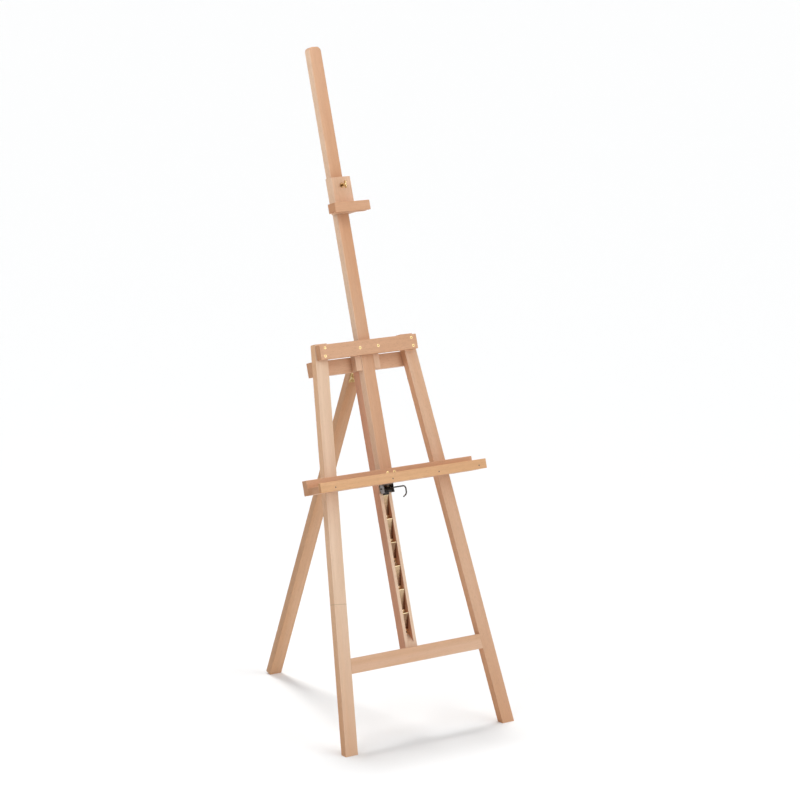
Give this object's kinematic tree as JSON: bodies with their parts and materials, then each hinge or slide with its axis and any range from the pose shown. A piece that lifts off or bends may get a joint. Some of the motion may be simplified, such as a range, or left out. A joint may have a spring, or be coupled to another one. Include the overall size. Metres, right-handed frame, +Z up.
{
  "type": "wooden artist easel",
  "caption": "Folding beech studio easel: splayed front legs, a rear leg, a sliding mast with a ratchet tray, and a top clip for canvases.",
  "frame": {"origin": "centre of the footprint on the floor", "axes": "+Z up, -Y towards the painter, +X to the painter's right"},
  "size_m": [0.573, 0.7314, 1.7881],
  "materials": {
    "beech": "planed beech, oiled, satin",
    "brass": "brass plated sheet and screws",
    "bright_steel": "nickel plated steel",
    "zinc_steel": "zinc plated wood screws",
    "black_steel": "blackened steel"
  },
  "bodies": {
    "frame": {"left_leg": "beech", "right_leg": "beech", "lower_crossbar": "beech", "crossbar_dowels": "beech", "guide_rail": "beech", "rail_dowels": "beech", "rail_screws": "zinc_steel", "head_rail": "beech", "head_screws": "zinc_steel", "front_bridge": "beech", "bridge_screws": "brass", "left_guide_block": "beech", "right_guide_block": "beech", "guide_block_front_screws": "brass", "guide_block_rear_screws": "zinc_steel", "rack_strip_lower": "brass", "rack_strip_second": "brass", "rack_strip_third": "brass", "rack_strip_upper": "brass", "rack_screws": "brass", "hinge_leaf_fixed": "brass", "hinge_pin": "brass", "hinge_screws_fixed": "brass"},
    "rear_leg": {"rear_leg": "beech", "hinge_leaf_moving": "brass", "hinge_screws_moving": "brass"},
    "mast": {"mast": "beech", "tray_rear_lip": "beech", "tray_shelf": "beech", "tray_front_lip": "beech", "lip_pins": "brass", "shelf_screws": "zinc_steel", "tray_screws": "brass", "ratchet_bracket": "bright_steel", "bracket_screws": "zinc_steel"},
    "ratchet_pawl": {"pawl": "black_steel", "release_lever": "bright_steel", "pawl_spring": "bright_steel"},
    "top_clip": {"clip_plate": "beech", "clip_bar": "beech", "clip_bar_screws": "zinc_steel", "clip_keeper": "brass", "keeper_screws": "brass", "clamp_insert": "brass"},
    "wing_screw": {"wing_screw": "brass"}
  },
  "joints": [
    {"name": "rear_leg_fold", "type": "hinge", "parent": "frame", "child": "rear_leg", "pos_m": [0, -0.00213, 0.93934], "axis": [-1, 0, 0], "range_deg": [0, 38]},
    {"name": "mast_slide", "type": "slide", "parent": "frame", "child": "mast", "axis": [0, 0.314, 0.9494], "range_m": [-0.32, 0.256]},
    {"name": "pawl_release", "type": "hinge", "parent": "mast", "child": "ratchet_pawl", "pos_m": [0, -0.13938, 0.63979], "axis": [-1, 0, 0], "range_deg": [0, 25], "stiffness_Nm_per_rad": 0.12, "springref_deg": -20.05},
    {"name": "clip_slide", "type": "slide", "parent": "mast", "child": "top_clip", "axis": [0, 0.314, 0.9494], "range_m": [-0.02, 0.34]},
    {"name": "wing_screw_turn", "type": "hinge", "parent": "top_clip", "child": "wing_screw", "pos_m": [0, 0.08752, 1.43001], "axis": [0, -0.9494, 0.314], "continuous": true}
  ]
}
